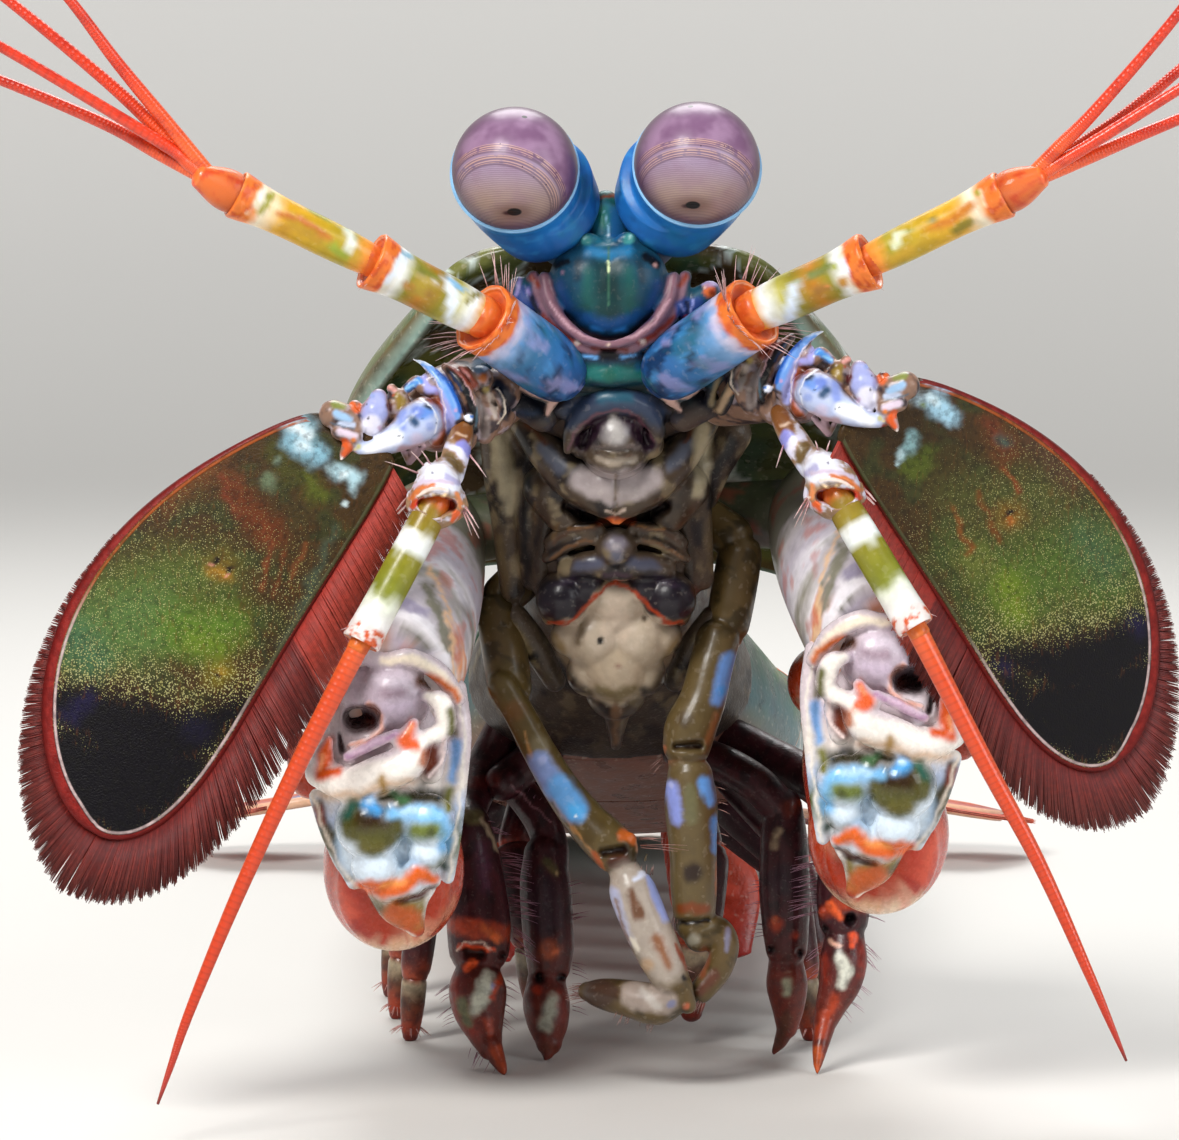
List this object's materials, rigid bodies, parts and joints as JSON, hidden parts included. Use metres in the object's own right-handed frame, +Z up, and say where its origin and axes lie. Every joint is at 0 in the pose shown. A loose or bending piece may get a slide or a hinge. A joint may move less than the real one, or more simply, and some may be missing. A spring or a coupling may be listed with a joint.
{
  "type": "mantis shrimp",
  "caption": "Life-size still model of a peacock mantis shrimp, reared on its feet with stalked eyes, spread antennal scales, folded clubs and a tail fan.",
  "frame": {"origin": "middle of the bounding box's base, on the floor under the middle of the body", "axes": "+Z up, the animal looks along -Y, its right side is -X, and the tail points along +Y"},
  "size_m": [0.0878, 0.1481, 0.0727],
  "materials": {
    "carapace_shell": "semi-gloss olive shell with pale-edged brown patches",
    "head_shell": "semi-gloss teal shell",
    "mouthpart_shell": "semi-gloss cream shell with dark hollows",
    "body_flesh": "soft cream skin with dark bands",
    "body_shell": "semi-gloss green shell with red rear edges",
    "eye_cup": "semi-gloss deep blue shell with a pale rim",
    "cornea": "glossy lilac cornea with tan bands",
    "antenna_shell": "semi-gloss blue, olive and white mottled shell",
    "feeler": "semi-gloss ringed orange",
    "scale_plate": "semi-gloss olive, green and black plate with a white line",
    "fringe": "matt dark red hairs with pale tips",
    "setae": "matt pinkish bristles",
    "raptorial_shell": "semi-gloss white, blue and olive mottled shell",
    "hammer_shell": "glossy red to cream shell",
    "cleaner_shell": "semi-gloss olive brown and sky blue shell",
    "limb_shell": "semi-gloss dark maroon shell with orange joints",
    "tail_fan": "semi-gloss red and blue tail fan"
  },
  "bodies": {
    "root": {"carapace": "carapace_shell", "rostral_plate": "head_shell", "head": "head_shell", "labrum": "mouthpart_shell", "mandibles": "mouthpart_shell", "maxillae": "mouthpart_shell", "trunk": "body_flesh", "thorax_6": "body_shell", "thorax_7": "body_shell", "thorax_8": "body_shell", "abdomen_1": "body_shell", "abdomen_2": "body_shell", "abdomen_3": "body_shell", "abdomen_4": "body_shell", "abdomen_5": "body_shell", "abdomen_6": "body_shell", "telson": "body_shell", "eye_stalk_right": "eye_cup", "eye_stalk_left": "eye_cup", "cornea_right": "cornea", "cornea_left": "cornea", "antennule_peduncle_right": "antenna_shell", "antennule_peduncle_left": "antenna_shell", "antennule_flagella_right": "feeler", "antennule_flagella_left": "feeler", "antenna_base_right": "antenna_shell", "antenna_base_left": "antenna_shell", "antenna_peduncle_right": "antenna_shell", "antenna_peduncle_left": "antenna_shell", "antenna_flagellum_right": "feeler", "antenna_flagellum_left": "feeler", "antennal_scale_right": "scale_plate", "antennal_scale_left": "scale_plate", "raptorial_merus_right": "raptorial_shell", "raptorial_merus_left": "raptorial_shell", "raptorial_carpus_right": "raptorial_shell", "raptorial_carpus_left": "raptorial_shell", "raptorial_propodus_right": "hammer_shell", "raptorial_propodus_left": "hammer_shell", "raptorial_dactyl_right": "hammer_shell", "raptorial_dactyl_left": "hammer_shell", "maxilliped_1_right": "cleaner_shell", "maxilliped_1_left": "cleaner_shell", "maxilliped_3_right": "limb_shell", "maxilliped_3_left": "limb_shell", "maxilliped_4_right": "limb_shell", "maxilliped_4_left": "limb_shell", "maxilliped_5_right": "limb_shell", "maxilliped_5_left": "limb_shell", "walking_leg_1_right": "limb_shell", "walking_leg_1_left": "limb_shell", "walking_leg_2_right": "limb_shell", "walking_leg_2_left": "limb_shell", "walking_leg_3_right": "limb_shell", "walking_leg_3_left": "limb_shell", "uropod_exopod_right": "tail_fan", "uropod_exopod_left": "tail_fan", "uropod_endopod_right": "tail_fan", "uropod_endopod_left": "tail_fan"}
  },
  "joints": []
}
